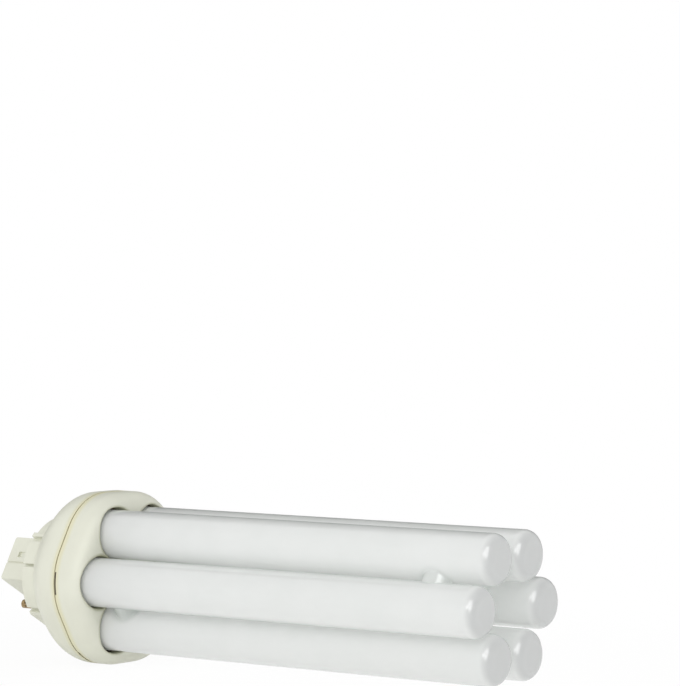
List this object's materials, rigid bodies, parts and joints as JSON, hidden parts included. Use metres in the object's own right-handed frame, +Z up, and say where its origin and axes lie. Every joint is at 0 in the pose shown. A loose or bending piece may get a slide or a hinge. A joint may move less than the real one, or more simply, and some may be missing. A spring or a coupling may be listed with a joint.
{
  "type": "compact fluorescent lamp",
  "caption": "Plug-in compact fluorescent lamp lying on its side: a ring of straight white glass tubes joined by short bridges, in an ivory moulded base with a keyed post and brass pins.",
  "frame": {"origin": "on the surface that the lamp lies on, under the middle of its bounding box", "axes": "+X along the lamp towards the closed tube ends, level with the surface, +Z up, and the side that the picture shows faces -Y"},
  "size_m": [0.16, 0.0472, 0.0456],
  "materials": {
    "coated_glass": "glossy white coated glass",
    "ivory_plastic": "satin moulded",
    "basing_cement": "rough",
    "pin_brass": "drawn",
    "lead_copper": "drawn wire"
  },
  "bodies": {
    "root": {"discharge_tube": "coated_glass", "tube_collar": "ivory_plastic", "tube_cement": "basing_cement", "base_shell": "ivory_plastic", "contact_pin_1": "pin_brass", "contact_pin_2": "pin_brass", "contact_pin_3": "pin_brass", "contact_pin_4": "pin_brass", "lead_wire_1": "lead_copper", "lead_wire_2": "lead_copper", "lead_wire_3": "lead_copper", "lead_wire_4": "lead_copper"}
  },
  "joints": []
}
